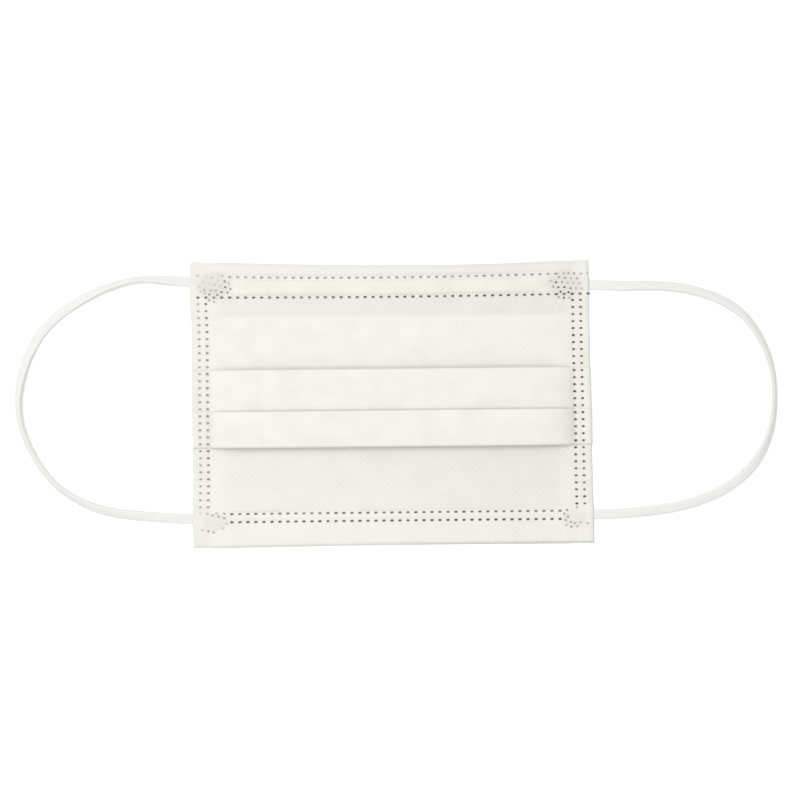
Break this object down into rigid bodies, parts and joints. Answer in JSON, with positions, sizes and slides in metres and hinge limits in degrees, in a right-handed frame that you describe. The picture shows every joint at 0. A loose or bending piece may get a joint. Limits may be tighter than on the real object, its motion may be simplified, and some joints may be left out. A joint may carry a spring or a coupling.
{
  "type": "surgical face mask",
  "caption": "Flat pleated three-ply face mask with welded side strips, a nose wire in its top hem and flat elastic ear loops.",
  "frame": {"origin": "middle of the pleated panel's footprint, on the surface that the mask lies on", "axes": "+X across the face between the side strips, +Y towards the nose edge, +Z out of the outer face, away from the surface"},
  "size_m": [0.2393, 0.0896, 0.0062],
  "materials": {
    "nonwoven": "matt point-bonded spunbond polypropylene",
    "nose_wire": "polyethylene-coated steel wire strip",
    "elastic": "knitted polyester and elastane, flat"
  },
  "bodies": {
    "root": {"pleated_panel": "nonwoven", "nose_wire": "nose_wire", "ear_loop_left": "elastic", "ear_loop_right": "elastic"}
  },
  "joints": []
}
